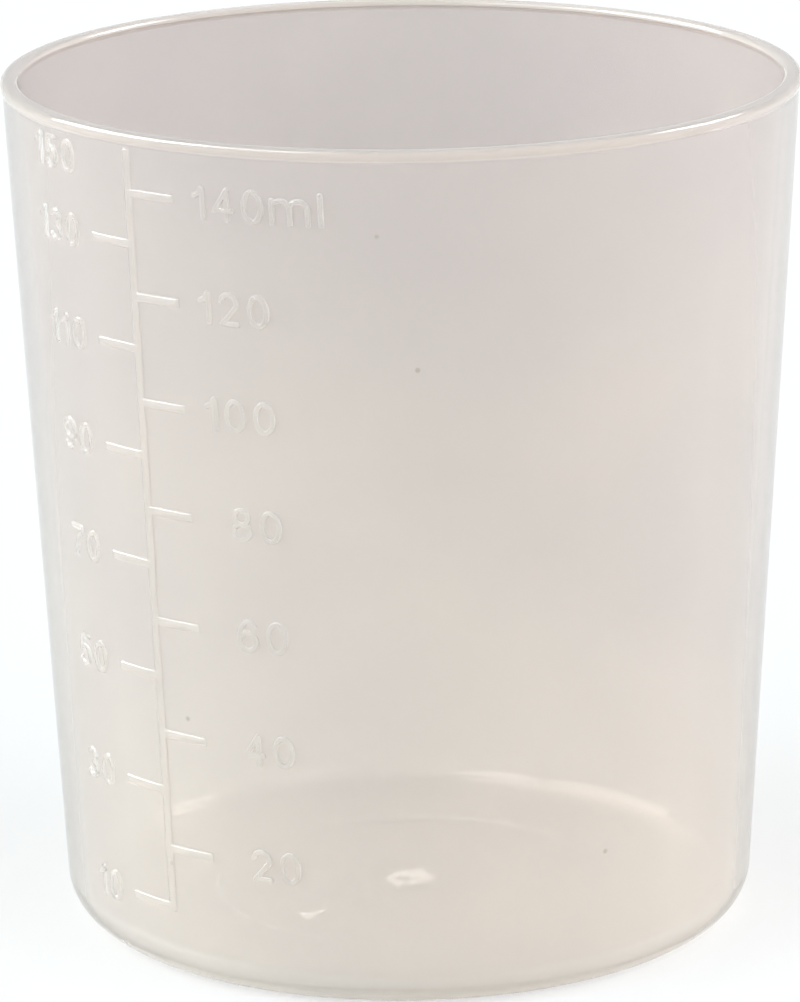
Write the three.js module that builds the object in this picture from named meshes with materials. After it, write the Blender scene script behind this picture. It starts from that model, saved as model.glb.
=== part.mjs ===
// Measuring cup: a tapered beaker moulded in translucent polypropylene, with a raised
// millilitre scale on the outside of its wall.
// Millimetres, +Z up. The origin is on the cup's axis, in the plane that it stands on.
// Azimuths are in degrees: 0 faces -Y, and they grow towards +X.

import * as THREE from 'three';

// The shell
const CUP_HEIGHT = 66.35;
const RIM_RADIUS = 30.35; // outside of the wall, at the height of the brim
const BASE_RADIUS = 26.7; // outside of the wall, carried down to the table
const WALL = 1.3;
const FLOOR = 1.5;
const BASE_FILLET = 3.5; // outside, from the underside to the wall

// The lip: a band round the brim that stands proud of the wall, with a rounded top
const LIP_PROUD = 0.1;
const LIP_BAND = 0.7;
const LIP_ROUND = 0.45;

// The underside: a shallow recess keeps the gate of the moulding off the table
const RECESS_RADIUS = 15;
const RECESS_DEPTH = 0.4;
const GATE_RADIUS = 0.7;
const GATE_STUB = 0.2;
const DOME_RADIUS = 1.9; // low dome on the inside of the floor, over the gate
const DOME_HEIGHT = 0.3;

// The raised scale
const SCALE_AZIMUTH = -41.1;
const SCALE_STEP_ML = 10; // marks lie on alternate sides of the line
const SCALE_TOP_GAP = 0.35; // from the end of the line up to the lip
const LINE_WIDTH = 0.65;
const TICK_WIDTH = 0.72;
const TICK_REACH = 4.15; // along the wall, from the middle of the line
const MARK_RELIEF = 0.24;
const MARK_DRAFT = 0.1; // how much each side of a mark leans in towards its top
const MARK_CLEARANCE = 0.03; // between a mark and what it sits on or meets

// Fineness of the facets, and of the slices that measure the cup's contents
const LATHE_SEGMENTS = 72;
const ARC_DIVISIONS = 4;
const TICK_STEPS = 4;
const SLICE = 0.05;

const taper = Math.atan2(RIM_RADIUS - BASE_RADIUS, CUP_HEIGHT);
const floorFillet = BASE_FILLET - WALL; // keeps the wall even round the corner
const lipBottom = CUP_HEIGHT - LIP_BAND;

const plastic = new THREE.MeshStandardMaterial({
  color: 0xdad5cc,
  roughness: 0.3,
  metalness: 0,
  transparent: true,
  opacity: 0.6,
});

function outsideRadius(z) {
  return BASE_RADIUS + z * Math.tan(taper);
}

// Radius of the inside at a height above the table, with the fillet at the floor.
function insideRadius(z) {
  const wallRadius = outsideRadius(z) - WALL / Math.cos(taper);
  const belowFillet = FLOOR + floorFillet - z;
  if (belowFillet <= 0) {
    return wallRadius;
  }
  return wallRadius - floorFillet + Math.sqrt(floorFillet ** 2 - belowFillet ** 2);
}

// Height at which the cup holds a volume, found by stacking thin slices up from the floor.
function fillHeight(millilitres) {
  let missing = millilitres * 1000;
  let z = FLOOR;
  let area = Math.PI * insideRadius(z + SLICE / 2) ** 2;
  while (missing > area * SLICE) {
    missing -= area * SLICE;
    z += SLICE;
    area = Math.PI * insideRadius(z + SLICE / 2) ** 2;
  }
  return z + missing / area;
}

// The whole moulded shell: one section, drawn from the gate out under the base, up the
// outside, over the lip, down the inside and back along the floor, turned about the axis.
function cupBody() {
  const lipOutside = outsideRadius(CUP_HEIGHT) + LIP_PROUD;
  const lipInside = insideRadius(CUP_HEIGHT);
  const lipRound = Math.min(LIP_ROUND, (lipOutside - lipInside) / 2);
  const baseCentre = outsideRadius(BASE_FILLET) - BASE_FILLET / Math.cos(taper);
  const floorCentreHeight = FLOOR + floorFillet;
  const floorCentre = outsideRadius(floorCentreHeight) - (WALL + floorFillet) / Math.cos(taper);

  const section = new THREE.Path();
  section.moveTo(0, RECESS_DEPTH - GATE_STUB);
  section.lineTo(GATE_RADIUS, RECESS_DEPTH - GATE_STUB);
  section.lineTo(GATE_RADIUS, RECESS_DEPTH);
  section.lineTo(RECESS_RADIUS, RECESS_DEPTH);
  section.lineTo(RECESS_RADIUS + RECESS_DEPTH, 0);
  section.lineTo(baseCentre, 0);
  section.absarc(baseCentre, BASE_FILLET, BASE_FILLET, -Math.PI / 2, -taper, false);
  section.lineTo(outsideRadius(lipBottom), lipBottom);
  section.lineTo(lipOutside, lipBottom + LIP_PROUD);
  section.absarc(lipOutside - lipRound, CUP_HEIGHT - lipRound, lipRound, 0, Math.PI / 2, false);
  section.absarc(lipInside + lipRound, CUP_HEIGHT - lipRound, lipRound, Math.PI / 2, Math.PI, false);
  section.absarc(floorCentre, floorCentreHeight, floorFillet, -taper, -Math.PI / 2, true);
  section.lineTo(DOME_RADIUS, FLOOR);
  section.quadraticCurveTo(DOME_RADIUS / 2, FLOOR + DOME_HEIGHT, 0, FLOOR + DOME_HEIGHT);

  const body = new THREE.LatheGeometry(section.getPoints(ARC_DIVISIONS), LATHE_SEGMENTS);
  body.rotateX(Math.PI / 2);
  return body;
}

// Section of a raised bar: its foot lies on the wall, and its sides lean in to the top.
// The first axis runs across the bar and the second away from the wall. lean is how much
// the wall moves away for each millimetre along the first axis.
function barSection(width, lean) {
  const foot = width / 2;
  const top = foot - MARK_DRAFT;
  const shape = new THREE.Shape();
  shape.moveTo(-foot, -foot * lean);
  shape.lineTo(foot, foot * lean);
  shape.lineTo(top, MARK_RELIEF + top * lean);
  shape.lineTo(-top, MARK_RELIEF - top * lean);
  shape.closePath();
  return shape;
}

// Level arc round the cup's axis, drawn against the growth of the azimuth.
class WallArc extends THREE.Curve {
  constructor(radius, z, fromAzimuth, toAzimuth) {
    super();
    this.radius = radius;
    this.z = z;
    this.fromAzimuth = fromAzimuth;
    this.toAzimuth = toAzimuth;
  }

  getPoint(t, target = new THREE.Vector3()) {
    const azimuth = this.toAzimuth + (this.fromAzimuth - this.toAzimuth) * t;
    return target.set(this.radius * Math.sin(azimuth), -this.radius * Math.cos(azimuth), this.z);
  }
}

// One graduation: a bar along the wall from the side of the scale's line.
// side is 1 for a bar to the right of the line and -1 for one to its left.
function tick(z, side) {
  const radius = outsideRadius(z) + MARK_CLEARANCE;
  const near = (LINE_WIDTH / 2 + MARK_CLEARANCE) / radius;
  const far = TICK_REACH / radius;
  const arc = side > 0 ? new WallArc(radius, z, near, far) : new WallArc(radius, z, -far, -near);
  // The bar is drawn hanging down from the arc, so the wall moves in as its first axis grows.
  return new THREE.ExtrudeGeometry(barSection(TICK_WIDTH, -Math.tan(taper)), {
    steps: TICK_STEPS,
    extrudePath: arc,
    bevelEnabled: false,
  });
}

// The upright line that carries the graduations, leaning with the wall. Its section is
// turned half round, so that it stands out towards -Y.
function scaleLine(bottom, top) {
  const length = (top - bottom) / Math.cos(taper);
  const bar = new THREE.ExtrudeGeometry(barSection(LINE_WIDTH, 0), { depth: length, bevelEnabled: false });
  bar.rotateZ(Math.PI);
  const line = new THREE.Mesh(bar, plastic);
  line.name = 'scale_line';
  line.rotation.x = taper;
  line.position.set(0, -(outsideRadius(bottom) + MARK_CLEARANCE), bottom);
  return line;
}

function raisedScale() {
  const scale = new THREE.Group();
  scale.rotation.z = THREE.MathUtils.degToRad(SCALE_AZIMUTH);
  const lineTop = lipBottom - SCALE_TOP_GAP;
  const lineBottom = fillHeight(SCALE_STEP_ML) - TICK_WIDTH / 2;
  scale.add(scaleLine(lineBottom, lineTop));

  let count = 1;
  while (fillHeight(count * SCALE_STEP_ML) + TICK_WIDTH / 2 < lineTop) {
    const millilitres = count * SCALE_STEP_ML;
    const side = count % 2 === 0 ? 1 : -1;
    const mark = new THREE.Mesh(tick(fillHeight(millilitres), side), plastic);
    mark.name = `tick_${String(millilitres).padStart(3, '0')}_ml`;
    scale.add(mark);
    count += 1;
  }
  return scale;
}

const measuringCup = new THREE.Group();
const body = new THREE.Mesh(cupBody(), plastic);
body.name = 'cup_body';
measuringCup.add(body, raisedScale());

export default measuringCup;
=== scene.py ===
"""Looks of a translucent measuring cup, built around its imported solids.

The shell, the raised scale and its numbers are modelled in millimetres and stored in metres.
Azimuths are in degrees: 0 faces -Y, and they grow towards +X.
"""
import math

import bpy
import numpy as np
from mathutils import Matrix, Vector

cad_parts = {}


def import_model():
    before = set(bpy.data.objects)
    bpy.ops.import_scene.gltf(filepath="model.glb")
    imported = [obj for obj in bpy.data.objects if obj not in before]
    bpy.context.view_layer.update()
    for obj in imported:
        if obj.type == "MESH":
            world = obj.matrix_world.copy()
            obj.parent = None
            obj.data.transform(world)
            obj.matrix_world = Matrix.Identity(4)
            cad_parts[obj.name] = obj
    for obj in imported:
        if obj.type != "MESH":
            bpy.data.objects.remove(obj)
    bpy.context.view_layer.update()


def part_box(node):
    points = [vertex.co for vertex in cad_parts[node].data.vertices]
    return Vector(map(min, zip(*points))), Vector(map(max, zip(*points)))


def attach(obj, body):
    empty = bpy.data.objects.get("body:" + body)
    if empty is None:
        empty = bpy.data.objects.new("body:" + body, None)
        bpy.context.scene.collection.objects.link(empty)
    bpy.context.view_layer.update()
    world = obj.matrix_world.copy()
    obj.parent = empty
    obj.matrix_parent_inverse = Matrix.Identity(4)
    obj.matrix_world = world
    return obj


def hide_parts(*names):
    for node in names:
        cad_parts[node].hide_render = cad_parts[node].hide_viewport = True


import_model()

MM = 0.001
BODY = "root"

# The shell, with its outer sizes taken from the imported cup
CUP_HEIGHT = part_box("cup_body")[1].z / MM
LIP_PROUD = 0.1
RIM_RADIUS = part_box("cup_body")[1].x / MM - LIP_PROUD
BASE_RADIUS = 26.7
WALL = 1.3
FLOOR = 1.5
BASE_FILLET = 3.5
LIP_BAND = 0.7
LIP_SLOPE = 0.25  # how far below the lip's band the wall begins to run out into it
LIP_ROUND = 0.45
RECESS_RADIUS = 15.0
RECESS_DEPTH = 0.05
GATE_RADIUS = 0.7
GATE_STUB = 0.03
GATE_ROUND = GATE_STUB / 3
STEP_DRAFT = 0.3  # how far the step of the recess leans, as a share of its depth
SMALL_ROUND = 0.01  # softens the edges of the recess
SHELL_SEGMENTS = 288
ARC_STEP = 7.0  # degrees of a fillet between two rings
RING_GAP = 2.5  # widest gap between two rings on a straight stretch

# The veil: share of the light that a skin scatters
OUTSIDE_VEIL = 0.33
BASE_VEIL = 0.1  # added to that towards the foot of the wall
FOOT_VEIL = 0.64  # on the rounded foot, where the moulding is thickest
FOOT_BAND = BASE_FILLET / 4  # height up to which the foot has all of that
UNDERSIDE_VEIL = 0.5
LIP_VEIL = 0.55
LIP_INSIDE = 0.9 * LIP_ROUND  # how far the lip's veil reaches down the inside
INSIDE_VEIL = 0.01
FLOOR_VEIL = 0.06
FROSTED_VEIL = 0.9
CORE_LINE_VEIL = 0.75
# Painted light on the scale: the veil along the edges of its marks grows from left to right, so the marks
# right of the line render lighter and those left of it fainter. Places along the wall, and the veils there
PAINTED_MARK_VEILS = ((-10.0, 15.0), (0.1, 0.32))
MARK_TOP = 0.4  # share of that veil on the top of a mark
PAINTED_OUTLINE_WIDTH = 0.13  # width of the milky outline of a mark, a painted highlight along its edges

# The raised scale
SCALE_AZIMUTH = -41.1
LINE_WIDTH = 0.65
TICK_REACH = 4.15
TICKS_ML = range(10, 150, 10)
RIGHT_STEP_ML = 20  # its multiples stand to the right of the line, and the others to its left
RELIEF = 0.24
RELIEF_EDGE = 0.16  # width of the rounded shoulder along each raised edge
SHOULDER_STEPS = (0, 0.1, 0.4, 1)  # places of the points across a shoulder, as shares of its width
ON_EDGE = 1e-5  # a point that is this close to a shape's edge lies on it
BAR_CELL = 1.0  # widest cell along a bar
SEAT = 0.004  # gap between a raised mark and what carries it

# The numbers
NUMBERS_ML = range(10, 160, 10)
BRIM_NUMBER_HEIGHT = 63.7  # the highest number stands by the brim and has no tick
DIGIT_HEIGHT = 2.6
DIGIT_WIDTH = 1.75
STROKE = 0.42
GLYPH_GAP = 0.55
RIGHT_NUMBERS_END = 11.5  # along the wall, from the line to the end of each number
LEFT_NUMBERS_END = -5.85
UNIT_START = 11.9
UNIT_ML = 140  # the number that the unit stands behind
RELIEF_CELL = 0.06  # width of the cells that figures are drawn with

# Frosted marks of the mould, on the floor inside the cup
CORE_LINE_RADIUS = 15.2  # fine raised circle left by the core of the mould
CORE_LINE_WIDTH = 0.15
CORE_LINE_STATIONS = 5  # points across the line
CORE_LINE_RELIEF = 0.08
MOULD_MARK_PLACE = (-7.8, -8.6)
MOULD_MARK_RELIEF = 0.15
GATE_MARK_RELIEF = 0.3
GATE_MARK_PEN = 0.35

taper = math.atan2(RIM_RADIUS - BASE_RADIUS, CUP_HEIGHT)


def outside_radius(z):
    return BASE_RADIUS + z * math.tan(taper)


def inside_radius(z):
    return outside_radius(z) - WALL / math.cos(taper)


def on_right(millilitres):
    return millilitres % RIGHT_STEP_ML == 0


def tick_height(millilitres):
    low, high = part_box(f"tick_{millilitres:03d}_ml")
    return (low.z + high.z) / 2 / MM


def arc(centre, radii, start, end, step=ARC_STEP):
    """Points of an elliptic arc between two angles in degrees."""
    count = max(2, math.ceil(abs(end - start) / step))
    angles = np.radians(np.linspace(start, end, count + 1))
    return np.array(centre) + np.array(radii) * np.stack([np.cos(angles), np.sin(angles)], axis=1)


# Meshes

def new_object(name, vertices, faces, material, crease=40.0):
    """A smooth mesh object from points in millimetres, with edges sharper than crease kept sharp."""
    mesh = bpy.data.meshes.new(name)
    mesh.from_pydata((np.asarray(vertices) * MM).tolist(), [], faces)
    mesh.polygons.foreach_set("use_smooth", [True] * len(mesh.polygons))
    mesh.set_sharp_from_angle(angle=math.radians(crease))
    mesh.materials.append(material)
    piece = bpy.data.objects.new(name, mesh)
    bpy.context.collection.objects.link(piece)
    return piece


def spread_veil(piece, values):
    piece.data.attributes.new("veil", "FLOAT", "POINT").data.foreach_set("value", values)


def dress(piece, *nodes):
    """Fixes a piece of the moulding to the cup, in place of the solids that it stands for."""
    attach(piece, BODY)
    if nodes:
        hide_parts(*nodes)


def rounded(corners):
    """A smooth section through (r, z, fillet radius) corners, with long stretches divided."""
    bends = []
    for before, corner, after in zip(corners, corners[1:], corners[2:]):
        here = np.array(corner[:2])
        back = np.array(before[:2]) - here
        ahead = np.array(after[:2]) - here
        back /= np.linalg.norm(back)
        ahead /= np.linalg.norm(ahead)
        half = math.acos(back @ ahead) / 2
        centre = here + (back + ahead) / np.linalg.norm(back + ahead) * corner[2] / math.sin(half)
        first = here + back * corner[2] / math.tan(half) - centre
        last = here + ahead * corner[2] / math.tan(half) - centre
        start = math.degrees(math.atan2(first[1], first[0]))
        sweep = math.degrees(math.atan2(last[1], last[0])) - start
        sweep = (sweep + 180) % 360 - 180
        bends.append(arc(centre, (corner[2], corner[2]), start, start + sweep))
    points = [np.array(corners[0][:2], float)]
    for bend in bends + [np.array([corners[-1][:2]], float)]:
        start = points[-1]
        pieces = max(1, math.ceil(np.linalg.norm(bend[0] - start) / RING_GAP))
        points += [start + (bend[0] - start) * (i / pieces) for i in range(1, pieces + 1)]
        points += list(bend[1:])
    return np.array(points)


def shell_section():
    """The moulding from the gate out under the base, up, over the lip and back to the axis."""
    lip_bottom = CUP_HEIGHT - LIP_BAND
    lip_outside = RIM_RADIUS + LIP_PROUD
    stub = RECESS_DEPTH - GATE_STUB
    return rounded([
        (0, stub, 0),
        (GATE_RADIUS, stub, GATE_ROUND),
        (GATE_RADIUS, RECESS_DEPTH, GATE_ROUND),
        (RECESS_RADIUS, RECESS_DEPTH, SMALL_ROUND),
        (RECESS_RADIUS + RECESS_DEPTH * STEP_DRAFT, 0, SMALL_ROUND),
        (outside_radius(0), 0, BASE_FILLET),
        (outside_radius(lip_bottom - LIP_SLOPE), lip_bottom - LIP_SLOPE, LIP_ROUND),
        (lip_outside, lip_bottom + LIP_PROUD, LIP_ROUND),
        (lip_outside, CUP_HEIGHT, LIP_ROUND),
        (inside_radius(CUP_HEIGHT), CUP_HEIGHT, LIP_ROUND),
        (inside_radius(FLOOR), FLOOR, BASE_FILLET - WALL),
        (0, FLOOR, 0),
    ])


def turned(name, section, material):
    """A solid of revolution whose section starts and ends on the axis."""
    angles = np.linspace(0, 2 * math.pi, SHELL_SEGMENTS, endpoint=False)
    around = np.stack([np.sin(angles), -np.cos(angles)], axis=1)
    rings = section[1:-1]
    vertices = [(0, 0, section[0][1]), (0, 0, section[-1][1])]
    for r, z in rings:
        vertices += [(x, y, z) for x, y in around * r]

    def vertex(ring, segment):
        return 2 + ring * SHELL_SEGMENTS + segment % SHELL_SEGMENTS

    faces = []
    last = len(rings) - 1
    for k in range(SHELL_SEGMENTS):
        faces.append((0, vertex(0, k + 1), vertex(0, k)))
        faces.append((1, vertex(last, k), vertex(last, k + 1)))
        for i in range(last):
            faces.append((vertex(i, k), vertex(i, k + 1), vertex(i + 1, k + 1), vertex(i + 1, k)))
    piece = new_object(name, vertices, faces, material)
    veils = shell_veils(rings)
    spread_veil(piece, np.concatenate([[UNDERSIDE_VEIL, FLOOR_VEIL], np.repeat(veils, SHELL_SEGMENTS)]))
    return piece


def shell_veils(rings):
    """How milky each ring of the shell looks."""
    r, z = rings.T
    outside = np.arange(len(rings)) <= np.argmax(z)
    wall = OUTSIDE_VEIL + BASE_VEIL * (1 - z / CUP_HEIGHT)
    foot = np.interp(z, [FOOT_BAND, BASE_FILLET], [FOOT_VEIL, 0])
    inside = np.interp(z, [FLOOR, FLOOR + BASE_FILLET - WALL], [FLOOR_VEIL, INSIDE_VEIL])
    veils = np.where(outside, np.maximum(wall, foot), inside)
    veils[outside & (r < BASE_RADIUS - BASE_FILLET)] = UNDERSIDE_VEIL
    lip = np.where(outside, LIP_BAND, LIP_INSIDE)
    veils[z > CUP_HEIGHT - lip] = LIP_VEIL
    return veils


# Raised marks: flat shapes with a distance in from their edge, lifted off the wall or the floor

def on_wall(flat, off):
    """Places points, given along the wall from the scale's line and up from the table, off the wall."""
    z = flat[:, 1]
    radius = outside_radius(z)
    azimuth = math.radians(SCALE_AZIMUTH) + flat[:, 0] / radius
    radius = radius + off * math.cos(taper)
    z = z - off * math.sin(taper)
    return np.stack([radius * np.sin(azimuth), -radius * np.cos(azimuth), z], axis=1)


def on_floor(flat, off):
    """Places points, given along X and Y, off the floor inside the cup."""
    return np.column_stack([flat, FLOOR + off])


def raised(name, shape, place, material, relief=RELIEF, veil=None):
    """A closed raised mark with rounded shoulders: its top and its foot share the points on its edge.

    Its top has the veil given, or else the milky outline of the scale at its place along the wall: painted
    light, as a highlight along the mark's edges that is made lighter towards the right of the scale.
    """
    flat, inside, quads = shape
    # Painted light: the marks' veil, and so their lightness, grows from left to right along the scale, and
    # a milky outline along each edge stands for a painted highlight
    if veil is None:
        veil = np.interp(flat[:, 0], *PAINTED_MARK_VEILS) * np.interp(inside, (0, PAINTED_OUTLINE_WIDTH), (1, MARK_TOP))
    veils = np.broadcast_to(veil, len(flat))
    inner = inside > 0
    lean = np.clip(1 - inside / RELIEF_EDGE, 0, 1)
    top = place(flat, SEAT + relief * np.sqrt(1 - lean ** 2))
    foot = place(flat[inner], np.full(np.count_nonzero(inner), SEAT))
    foot_index = np.arange(len(flat))
    foot_index[inner] = len(flat) + np.arange(len(foot))
    faces = np.concatenate([quads, foot_index[quads[:, ::-1]]])
    piece = new_object(name, np.concatenate([top, foot]), faces.tolist(), material)
    spread_veil(piece, np.concatenate([veils, np.zeros(len(foot))]))
    return piece


def cells(along, up):
    """Points and quads of a grid between the given stations."""
    points = np.stack(np.meshgrid(along, up, indexing="ij"), axis=-1)
    index = np.arange(len(along) * len(up)).reshape(len(along), len(up))
    quads = np.stack([index[:-1, :-1], index[1:, :-1], index[1:, 1:], index[:-1, 1:]], axis=-1)
    return points.reshape(-1, 2), quads.reshape(-1, 4)


def only_used(points, inside, quads):
    used = np.unique(quads)
    renumber = np.zeros(len(points), int)
    renumber[used] = np.arange(len(used))
    return points[used], inside[used], renumber[quads]


def bars(rectangles):
    """One shape from overlapping rectangles, each given by its low and its high corner."""
    def stations(axis):
        steps = np.array(SHOULDER_STEPS) * RELIEF_EDGE
        edges = np.unique([corner[axis] for corners in rectangles for corner in corners])
        close = [edge + side * step for edge in edges for side in (1, -1) for step in steps]
        return np.unique(np.round(close + list(np.arange(edges[0], edges[-1], BAR_CELL)), 6))

    points, quads = cells(stations(0), stations(1))

    def inside_of(places):
        depths = [np.minimum(places - low, high - places).min(axis=1) for low, high in rectangles]
        return np.maximum(np.max(depths, axis=0), 0)

    kept = quads[inside_of(points[quads].mean(axis=1)) > 0]
    inside = inside_of(points)
    inside[inside < ON_EDGE] = 0
    return only_used(points, inside, kept)


def circle_line(radius, width):
    """A shape for a thin line along a whole circle about the axis."""
    turns = np.linspace(0, 2 * math.pi, SHELL_SEGMENTS + 1)
    points, quads = cells(turns, np.linspace(-width / 2, width / 2, CORE_LINE_STATIONS))
    once = points[:-CORE_LINE_STATIONS]  # the last turn meets the first
    flat = (radius + once[:, 1:]) * np.stack([np.sin(once[:, 0]), np.cos(once[:, 0])], axis=1)
    inside = width / 2 - np.abs(once[:, 1])
    inside[inside < ON_EDGE] = 0
    return flat, inside, quads % len(once)


def nearest_on(strokes, points):
    """The nearest place on any stroke, a stroke being points joined by straight lines."""
    best = np.full(len(points), np.inf)
    nearest = np.zeros_like(points)
    for stroke in strokes:
        for start, end in zip(stroke, stroke[1:]):
            run = end - start
            share = np.clip((points - start) @ run / (run @ run), 0, 1)
            foot = start + share[:, None] * run
            gap = np.linalg.norm(points - foot, axis=1)
            closer = gap < best
            best[closer] = gap[closer]
            nearest[closer] = foot[closer]
    return nearest, best


def drawn(strokes, pen=STROKE / 2):
    """A shape drawn along strokes with a round pen, its edge smoothed onto the pen's outline."""
    low = np.min([s.min(axis=0) for s in strokes], axis=0) - pen - RELIEF_CELL
    high = np.max([s.max(axis=0) for s in strokes], axis=0) + pen + RELIEF_CELL
    points, quads = cells(*(np.arange(low[i], high[i] + RELIEF_CELL, RELIEF_CELL) for i in (0, 1)))

    def border_of(chosen):
        uses = np.bincount(chosen.ravel(), minlength=len(points))
        return (uses > 0) & (uses < 4)

    kept = quads[nearest_on(strokes, points[quads].mean(axis=1))[1] < pen]
    kept = kept[~border_of(kept)[kept].all(axis=1)]  # such a cell would have no height
    border = border_of(kept)
    foot, gap = nearest_on(strokes, points)
    points[border] = foot[border] + (points[border] - foot[border]) * (pen / gap[border])[:, None]
    inside = np.where(border, 0, np.maximum(pen - gap, RELIEF_EDGE * SHOULDER_STEPS[1]))
    return only_used(points, inside, kept)


def glyphs():
    """Width and strokes of each figure and letter, in shares of the box that a figure is drawn in."""
    def line(*points):
        return np.array(points, float)

    def join(*parts):
        return np.concatenate(parts)

    def arch(start):
        return join(arc((start + 0.5, 0.5), (0.5, 0.27), 180, 0), line((start + 1, 0)))

    three = join(arc((0.48, 0.755), (0.42, 0.245), 155, -80), arc((0.48, 0.265), (0.5, 0.265), 80, -155))
    five = join(line((0.92, 1), (0.18, 1), (0.07, 0.5)), arc((0.48, 0.33), (0.5, 0.33), 130, -152))
    six = [
        arc((0.5, 0.31), (0.5, 0.31), 0, 360),
        join(arc((0.58, 0.4), (0.58, 0.6), 180, 90), arc((0.58, 0.76), (0.36, 0.24), 90, 25)),
    ]
    return {
        "0": (1, [arc((0.5, 0.5), (0.5, 0.5), 0, 360)]),
        "1": (0.5, [line((0, 0.74), (0.22, 0.8), (0.38, 0.9), (0.44, 1), (0.5, 1), (0.5, 0))]),
        "2": (1, [join(arc((0.5, 0.71), (0.48, 0.29), 165, -28), line((0.06, 0), (1, 0)))]),
        "3": (1, [three]),
        "4": (1, [line((0.74, 0), (0.74, 1), (0, 0.3), (1, 0.3))]),
        "5": (1, [five]),
        "6": (1, six),
        "7": (1, [join(line((0, 1), (1, 1)), arc((1.3, 0), (0.95, 0.82), 110, 180))]),
        "8": (1, [arc((0.5, 0.755), (0.42, 0.245), 0, 360), arc((0.5, 0.26), (0.5, 0.26), 0, 360)]),
        "9": (1, [1 - stroke for stroke in six]),
        "m": (2, [line((0, 0), (0, 0.77)), arch(0), arch(1)]),
        "l": (0, [line((0, 0), (0, 1))]),
    }


GLYPHS = glyphs()
GLYPH_BOX = np.array([DIGIT_WIDTH - STROKE, DIGIT_HEIGHT - STROKE])


def text_width(text):
    return sum(GLYPHS[c][0] * GLYPH_BOX[0] + STROKE for c in text) + GLYPH_GAP * (len(text) - 1)


def text_shape(text, start, height):
    """A row of figures from a place along the wall, centred on a height."""
    strokes = []
    for c in text:
        width, parts = GLYPHS[c]
        corner = np.array([start + STROKE / 2, height - GLYPH_BOX[1] / 2])
        strokes += [corner + part * GLYPH_BOX for part in parts]
        start += width * GLYPH_BOX[0] + STROKE + GLYPH_GAP
    return drawn(strokes)


def raised_scale(material):
    low, high = (corner.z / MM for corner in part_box("scale_line"))
    rectangles = [(np.array([-LINE_WIDTH / 2, low]), np.array([LINE_WIDTH / 2, high]))]
    names = ["scale_line"]
    for millilitres in TICKS_ML:
        name = f"tick_{millilitres:03d}_ml"
        names.append(name)
        bottom, top = (corner.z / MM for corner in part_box(name))
        left = -LINE_WIDTH / 2 if on_right(millilitres) else -TICK_REACH
        right = TICK_REACH if on_right(millilitres) else LINE_WIDTH / 2
        rectangles.append((np.array([left, bottom]), np.array([right, top])))
    dress(raised("scale_line_and_ticks", bars(rectangles), on_wall, material), *names)


def frosted_mark(name, place, pen, relief, strokes, material):
    shape = drawn([np.array(place) + np.array(stroke) for stroke in strokes], pen)
    dress(raised(name, shape, on_floor, material, relief, FROSTED_VEIL))


def mould_marks(material):
    """The torn gate in the middle of the floor, a small three-sided blot with a tail, and a fine circle."""
    torn_edge = [
        (-1.5, -0.6), (-0.7, 0.6), (0.2, 0.9), (0.9, 1.2), (1, 0.5),
        (1.6, -0.3), (0.8, -1.3), (0.1, -1.8), (-0.7, -1.7),
    ]
    skin = [(-0.4, 0.1), (0.8, 0.1), (1.1, -0.3), (0.3, -0.4)]
    gate = [torn_edge + torn_edge[:1], skin]
    frosted_mark("gate_mark", (0, 0), GATE_MARK_PEN, GATE_MARK_RELIEF, gate, material)
    blot = [(-0.5, 0.4), (0.5, 0.3), (0, -0.8), (-0.5, 0.4)]
    tail = [(0.5, 0.4), (1.1, 1)]
    frosted_mark("mould_mark", MOULD_MARK_PLACE, STROKE / 2, MOULD_MARK_RELIEF, [blot, tail], material)
    circle = circle_line(CORE_LINE_RADIUS, CORE_LINE_WIDTH)
    dress(raised("core_line", circle, on_floor, material, CORE_LINE_RELIEF, CORE_LINE_VEIL))


def raised_numbers(material):
    for millilitres in NUMBERS_ML:
        text = str(millilitres)
        height = tick_height(millilitres) if millilitres in TICKS_ML else BRIM_NUMBER_HEIGHT
        end = RIGHT_NUMBERS_END if on_right(millilitres) else LEFT_NUMBERS_END
        shape = text_shape(text, end - text_width(text), height)
        dress(raised(f"number_{millilitres:03d}", shape, on_wall, material))
    unit = text_shape("ml", UNIT_START, tick_height(UNIT_ML))
    dress(raised("unit_ml", unit, on_wall, material))


# Materials

PAINTED_BASE_LIGHT = 0.3  # painted light and shade: how far the tint's cloud is shifted towards pale at the base, as warm light off the table would light it, and towards dull at the brim
CLEAR = (1, 1, 1, 1)
# The dull and the pale end of each plastic's tint, and the range of its roughness
WALL_TINTS = ((0.726, 0.668, 0.655, 1), (0.833, 0.767, 0.712, 1))
WALL_GLOSS = (0.005, 0.02)
MARK_TINTS = ((0.98, 0.965, 0.945, 1), (1, 0.985, 0.965, 1))
MARK_GLOSS = (0.1, 0.2)
FROSTED_TINTS = ((0.93, 0.91, 0.88, 1), (0.98, 0.96, 0.92, 1))
FROSTED_GLOSS = (0.15, 0.3)
PLASTIC_INDEX = 1.49
MARK_INDEX = 1.1  # low, because the real marks are one with the wall and hardly bend the light
MARK_COAT = 0.75
# Painted shade along the silhouette: how the wall darkens from where it faces the eye, at 0, to where it
# is seen along itself, at 1. A little of it is the longer path through the plastic, as in glass; the rest
# is painted shade
PAINTED_EDGE_SHADES = ((0.45, 1.0), (0.69, 0.9), (0.73, 0.82), (0.97, 0.42))
LIP_TINT = (0.92, 0.885, 0.845, 1)
SPECK_TINT = (0.78, 0.76, 0.74, 1)
SPECK_SPREAD = 120.0  # specks to a metre
SPECK_SIZE = 0.015  # share of the way to the next speck
CLOUD_SCALE = 45.0
CLOUD_ENDS = (0.1, 0.9)  # between them the tint goes from dull to pale
GRAIN_SCALE = 900.0
GRAIN_STRENGTH = 0.02
GRAIN_DEPTH = 0.05  # of the fine bumps of the skin
COAT_ROUGHNESS = 0.3


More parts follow.
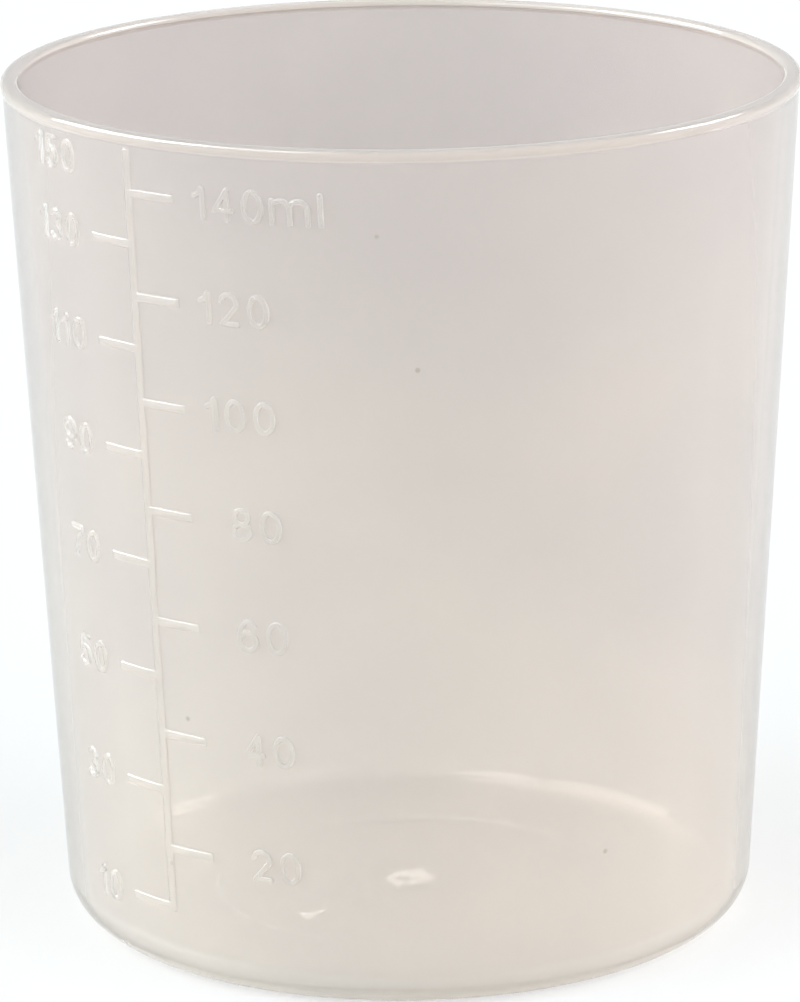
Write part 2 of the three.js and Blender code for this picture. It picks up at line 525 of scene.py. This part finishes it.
def adder(tree):
    """A function that adds nodes to an emptied tree and sets or links their inputs."""
    tree.nodes.clear()

    def add(kind, inputs=None, **settings):
        node = tree.nodes.new(kind)
        for key, value in settings.items():
            setattr(node, key, value)
        for key, value in (inputs or {}).items():
            if isinstance(value, bpy.types.NodeSocket):
                tree.links.new(value, node.inputs[key])
            else:
                node.inputs[key].default_value = value
        return node

    return add


def shader(name):
    material = bpy.data.materials.new(name)
    material.use_nodes = True
    return material, adder(material.node_tree)


def ramp(add, factor, *stops):
    """A colour that follows a factor through (position, colour) stops."""
    node = add("ShaderNodeValToRGB", {"Fac": factor})
    elements = node.color_ramp.elements
    for element, (position, colour) in zip(elements, (stops[0], stops[-1])):
        element.position = position
        element.color = colour
    for position, colour in stops[1:-1]:
        elements.new(position).color = colour
    return node.outputs["Color"]


def polypropylene(name, dull, pale, gloss, index=PLASTIC_INDEX, coat=0.0):
    """Natural polypropylene: see-through, with a milky warm veil, a smooth skin and a few specks.

    dull and pale are the ends of its cloudy tint, which is painted paler towards the base and duller
    towards the brim, as light and shade, and gloss is the range of its roughness. The veil comes from
    the mesh. Painted shade darkens the wall's outer skin where it is seen edge-on.
    """
    material, add = shader(name)
    place = add("ShaderNodeTexCoord").outputs["Object"]
    cloud = add("ShaderNodeTexNoise", {"Vector": place, "Scale": CLOUD_SCALE, "Detail": 3.0})
    height = add("ShaderNodeSeparateXYZ", {"Vector": place}).outputs["Z"]
    # Painted light and shade: by height, the tint's cloud is shifted paler towards the base and duller
    # towards the brim
    low = add("ShaderNodeMapRange", {
        "Value": height, "From Max": CUP_HEIGHT * MM, "To Min": PAINTED_BASE_LIGHT, "To Max": -PAINTED_BASE_LIGHT})
    cloud_and_painted_light = add("ShaderNodeMath", {0: cloud.outputs["Fac"], 1: low.outputs["Result"]}, operation="ADD")
    tint = ramp(add, cloud_and_painted_light.outputs[0], (CLOUD_ENDS[0], dull), (CLOUD_ENDS[1], pale))
    veil = add("ShaderNodeAttribute", attribute_name="veil").outputs["Fac"]
    # Painted shade: the outer skin of the wall is darkened where it turns away from the eye, towards its
    # silhouette
    facing = add("ShaderNodeLayerWeight", {"Blend": 0.5}).outputs["Facing"]
    wall = {0: veil, 1: OUTSIDE_VEIL + BASE_VEIL / 2, 2: BASE_VEIL}
    on_wall_skin = add("ShaderNodeMath", wall, operation="COMPARE").outputs[0]
    painted_shade_facing = add("ShaderNodeMath", {0: facing, 1: on_wall_skin}, operation="MULTIPLY").outputs[0]
    speck = add("ShaderNodeTexVoronoi", {"Vector": place, "Scale": SPECK_SPREAD}).outputs["Distance"]
    edge = ramp(add, painted_shade_facing, *((turn, (shade, shade, shade, 1)) for turn, shade in PAINTED_EDGE_SHADES))
    specks = ramp(add, speck, (SPECK_SIZE, SPECK_TINT), (SPECK_SIZE * 2, CLEAR))
    brim = {0: height, 1: (CUP_HEIGHT - LIP_BAND) * MM}
    on_lip = add("ShaderNodeMath", brim, operation="GREATER_THAN").outputs[0]
    lip = ramp(add, on_lip, (0.0, CLEAR), (1.0, LIP_TINT))
    for shade in (edge, specks, lip):
        tint = add("ShaderNodeVectorMath", {0: tint, 1: shade}, operation="MULTIPLY").outputs["Vector"]

    grain = add("ShaderNodeTexNoise", {"Vector": place, "Scale": GRAIN_SCALE, "Detail": 2.0}).outputs["Fac"]
    rough = add("ShaderNodeMapRange", {"Value": grain, "To Min": gloss[0], "To Max": gloss[1]})
    bump = add("ShaderNodeBump", {
        "Height": grain, "Strength": GRAIN_STRENGTH, "Distance": GRAIN_DEPTH * MM})
    clear = add("ShaderNodeMath", {0: 1.0, 1: veil}, operation="SUBTRACT")
    plastic = add("ShaderNodeBsdfPrincipled", {
        "Base Color": tint,
        "Roughness": rough.outputs["Result"],
        "Normal": bump.outputs["Normal"],
        "Transmission Weight": clear.outputs[0],
        "IOR": index,
        "Coat Weight": coat,
        "Coat Roughness": COAT_ROUGHNESS,
    })
    add("ShaderNodeOutputMaterial", {"Surface": plastic.outputs["BSDF"]})
    return material


# The stage

SIDE_LIGHT_FOCUS = 3.0
SIDE_LIGHTS = (  # direction, strength and colour of each
    ((-0.97, -0.22, 0.1), 6.0, (0.93, 1.03, 1.045, 1)),
    ((0.97, -0.22, 0.1), 5.0, (0.96, 1.015, 1.03, 1)),
)
INSIDE_HEIGHT = 0.85  # of the spot, in metres
INSIDE_POWER = 7.5
SPOT_BLEND = 0.4
SPOT_RADIUS = 0.01  # in metres
FLOOR_LIT = (0.92, 0.88, 0.82, 1)  # as it sheds light on the cup
FLOOR_SEEN = (0.35, 0.35, 0.35, 1)  # as it is seen, with the glow
FLOOR_GLOW = 0.61
FLOOR_HALF = 3000.0  # half of its width
FLOOR_DROP = -0.02  # just below the cup
CARDS = (  # name, place in metres, size, power and turn in degrees
    ("left_card", (-0.36, -0.08, 0.71), (0.45, 0.35), 3.0, 35.0),
    ("back_left_card", (-0.52, 0.21, 0.57), (0.55, 0.4), 9.0, 35.0),
    ("right_card", (0.54, 0.25, 0.54), (0.3, 0.3), 3.5, 0.0),
)
PALE_RAYS = ("Is Camera Ray", "Is Glossy Ray", "Is Transmission Ray")


def pale_rays(add):
    """1 for the rays that see the background itself, and 0 for those that carry light to a surface."""
    path = add("ShaderNodeLightPath")
    total = path.outputs[PALE_RAYS[0]]
    for name in PALE_RAYS[1:]:
        total = add("ShaderNodeMath", {0: total, 1: path.outputs[name]}, operation="MAXIMUM").outputs[0]
    scattered = add("ShaderNodeMath", {0: path.outputs["Diffuse Depth"], 1: 0.5}, operation="GREATER_THAN")
    clear = {0: total, 1: scattered.outputs[0]}
    return add("ShaderNodeMath", clear, operation="SUBTRACT", use_clamp=True).outputs[0]


def floor():
    material, add = shader("white_floor")
    seen = pale_rays(add)
    tone = ramp(add, seen, (0.0, FLOOR_LIT), (1.0, FLOOR_SEEN))
    paper = add("ShaderNodeBsdfDiffuse", {"Color": tone})
    glow = add("ShaderNodeMath", {0: seen, 1: FLOOR_GLOW}, operation="MULTIPLY")
    white = add("ShaderNodeEmission", {"Color": (1, 1, 1, 1), "Strength": glow.outputs[0]})
    both = add("ShaderNodeAddShader", {0: paper.outputs[0], 1: white.outputs[0]})
    add("ShaderNodeOutputMaterial", {"Surface": both.outputs[0]})
    sides = ((-1, -1), (1, -1), (1, 1), (-1, 1))
    corners = [(x * FLOOR_HALF, y * FLOOR_HALF, FLOOR_DROP) for x, y in sides]
    new_object("floor", corners, [(0, 1, 2, 3)], material)


def world():
    """Soft light from both sides, seen as plain white by the rays that show the background."""
    studio = bpy.data.worlds.new("studio")
    bpy.context.scene.world = studio
    studio.use_nodes = True
    add = adder(studio.node_tree)
    towards = add("ShaderNodeTexCoord").outputs["Generated"]

    def side_light(direction, power, colour):
        aim = Vector(direction).normalized()
        facing = add("ShaderNodeVectorMath", {0: towards, 1: aim}, operation="DOT_PRODUCT").outputs["Value"]
        ahead = add("ShaderNodeMath", {0: facing, 1: 0.0}, operation="MAXIMUM").outputs[0]
        soft = add("ShaderNodeMath", {0: ahead, 1: SIDE_LIGHT_FOCUS}, operation="POWER").outputs[0]
        strength = add("ShaderNodeMath", {0: soft, 1: power}, operation="MULTIPLY").outputs[0]
        return add("ShaderNodeBackground", {"Color": colour, "Strength": strength}).outputs[0]

    left, right = (side_light(*values) for values in SIDE_LIGHTS)
    light = add("ShaderNodeAddShader", {0: left, 1: right}).outputs[0]
    white = add("ShaderNodeBackground", {"Color": (1, 1, 1, 1), "Strength": 1.0})
    mix = add("ShaderNodeMixShader", {0: pale_rays(add), 1: light, 2: white.outputs[0]})
    add("ShaderNodeOutputWorld", {"Surface": mix.outputs[0]})


def card(name, place, size, power, turn):
    """A bright card at a place in metres, facing the cup, that shows as a highlight and sheds no light.

    turn is its turn about its own axis, in degrees.
    """
    lamp = bpy.data.lights.new(name, "AREA")
    lamp.shape = "RECTANGLE"
    lamp.size, lamp.size_y = size
    lamp.energy = power
    holder = bpy.data.objects.new(name, lamp)
    away = Vector(place) - Vector((0, 0, CUP_HEIGHT / 2 * MM))
    aim = away.to_track_quat("Z", "Y").to_matrix().to_4x4()
    holder.matrix_world = Matrix.Translation(place) @ aim @ Matrix.Rotation(math.radians(turn), 4, "Z")
    holder.visible_diffuse = False
    bpy.context.collection.objects.link(holder)


def inside_spot():
    """A narrow light down onto the floor inside the cup."""
    lamp = bpy.data.lights.new("inside_spot", "SPOT")
    lamp.energy = INSIDE_POWER
    lamp.spot_size = 2 * math.atan2(RIM_RADIUS * MM, INSIDE_HEIGHT)
    lamp.spot_blend = SPOT_BLEND
    lamp.shadow_soft_size = SPOT_RADIUS
    holder = bpy.data.objects.new("inside_spot", lamp)
    holder.location = (0, 0, INSIDE_HEIGHT)
    holder.visible_glossy = False
    bpy.context.collection.objects.link(holder)


def lamps():
    """A light into the cup, and cards that show on the brim, the floor's corner and the marks."""
    inside_spot()
    for values in CARDS:
        card(*values)


def camera():
    """The photograph's view: its place, tilt and lens were fitted to the cup's outline and marks."""
    distance, height = 416.6, 147.9
    pitch, roll, pan = 15.51, -0.607, 0.055
    view = bpy.data.cameras.new("photo_view")
    view.sensor_width = 36.0
    view.lens = 199.9
    view.clip_start = 0.01
    holder = bpy.data.objects.new("photo_view", view)
    holder.matrix_world = (
        Matrix.Translation(Vector((0, -distance, height)) * MM)
        @ Matrix.Rotation(math.radians(90 - pitch), 4, "X")
        @ Matrix.Rotation(math.radians(pan), 4, "Y")
        @ Matrix.Rotation(math.radians(roll), 4, "Z")
    )
    bpy.context.collection.objects.link(holder)
    bpy.context.scene.camera = holder


bpy.context.scene.view_settings.view_transform = "Standard"
camera()
wall_plastic = polypropylene("polypropylene_wall", *WALL_TINTS, WALL_GLOSS)
mark_plastic = polypropylene("polypropylene_marks", *MARK_TINTS, MARK_GLOSS, MARK_INDEX, MARK_COAT)
frosted_plastic = polypropylene("polypropylene_frosted", *FROSTED_TINTS, FROSTED_GLOSS)
dress(turned("cup_shell", shell_section(), wall_plastic), "cup_body")
raised_scale(mark_plastic)
raised_numbers(mark_plastic)
mould_marks(frosted_plastic)
floor()
world()
lamps()
